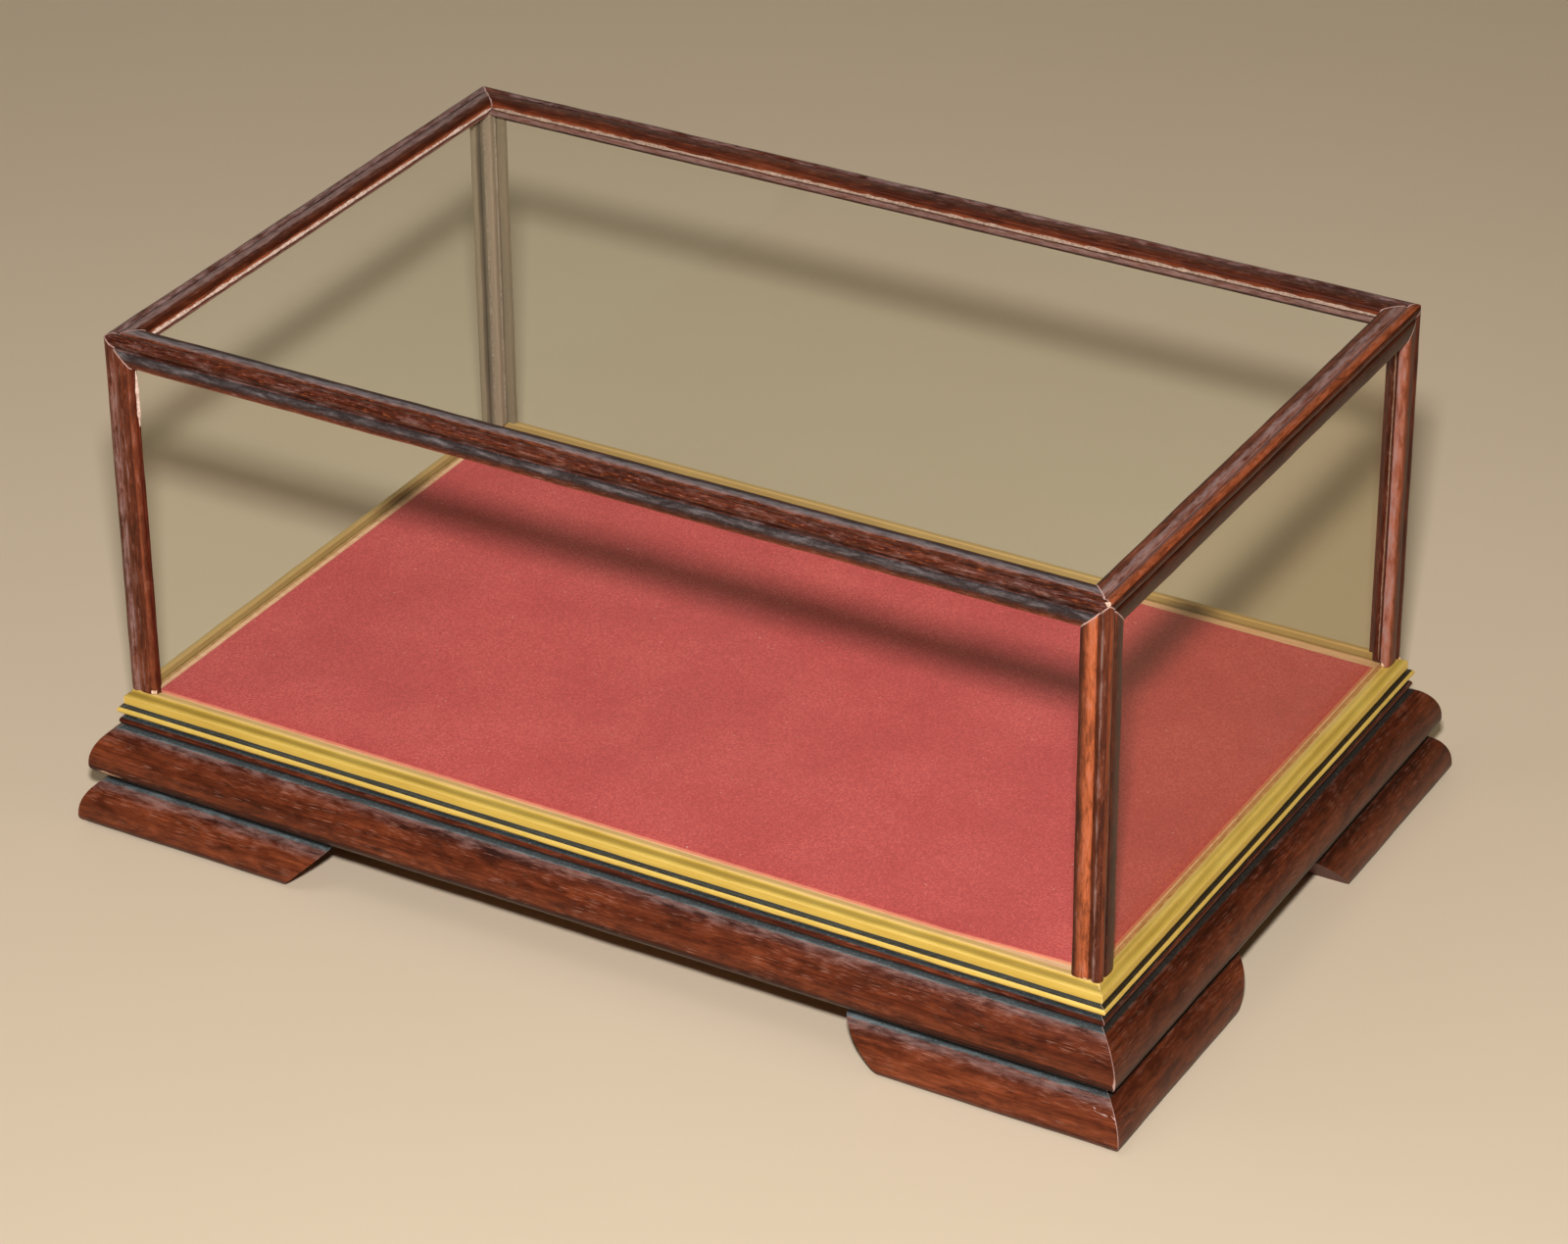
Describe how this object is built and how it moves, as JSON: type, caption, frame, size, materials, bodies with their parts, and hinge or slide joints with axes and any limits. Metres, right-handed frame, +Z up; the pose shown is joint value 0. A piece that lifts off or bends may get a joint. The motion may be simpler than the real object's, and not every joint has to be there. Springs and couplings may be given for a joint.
{
  "type": "glazed table-top display case",
  "caption": "Rectangular table-top display case: a lift-off glass cover with wooden glazing bars over a felt-lined moulded plinth on bracket feet.",
  "frame": {"origin": "on the table surface, under the middle of the case", "axes": "+X along the long side towards the right, +Y from the front to the back, +Z up"},
  "size_m": [0.433, 0.283, 0.2001],
  "materials": {
    "mahogany": "French-polished red-brown mahogany with open pores and wear",
    "gilt": "gilded and worn, with black lines in the quirks",
    "glass": "clear flat pane with a slight haze",
    "felt": "short crimson felt",
    "softwood": "bare sawn softwood",
    "screw_steel": "dull countersunk screw"
  },
  "bodies": {
    "base": {"plinth_moulding_front": "mahogany", "plinth_moulding_right": "mahogany", "plinth_moulding_back": "mahogany", "plinth_moulding_left": "mahogany", "gilt_slip_front": "gilt", "gilt_slip_right": "gilt", "gilt_slip_back": "gilt", "gilt_slip_left": "gilt", "foot_front_left_leg": "mahogany", "foot_front_right_leg": "mahogany", "foot_right_front_leg": "mahogany", "foot_right_back_leg": "mahogany", "foot_back_right_leg": "mahogany", "foot_back_left_leg": "mahogany", "foot_left_back_leg": "mahogany", "foot_left_front_leg": "mahogany", "foot_block_front_left": "softwood", "foot_block_front_right": "softwood", "foot_block_back_right": "softwood", "foot_block_back_left": "softwood", "base_board": "softwood", "felt_lining": "felt", "board_screws": "screw_steel"},
    "cover": {"top_rail_front": "mahogany", "top_rail_right": "mahogany", "top_rail_back": "mahogany", "top_rail_left": "mahogany", "post_front_left": "mahogany", "post_front_right": "mahogany", "post_back_right": "mahogany", "post_back_left": "mahogany", "glass_top": "glass", "glass_front": "glass", "glass_right": "glass", "glass_back": "glass", "glass_left": "glass"}
  },
  "joints": [
    {"name": "cover_lift", "type": "slide", "parent": "base", "child": "cover", "axis": [0, 0, 1], "range_m": [0, 0.18]}
  ]
}
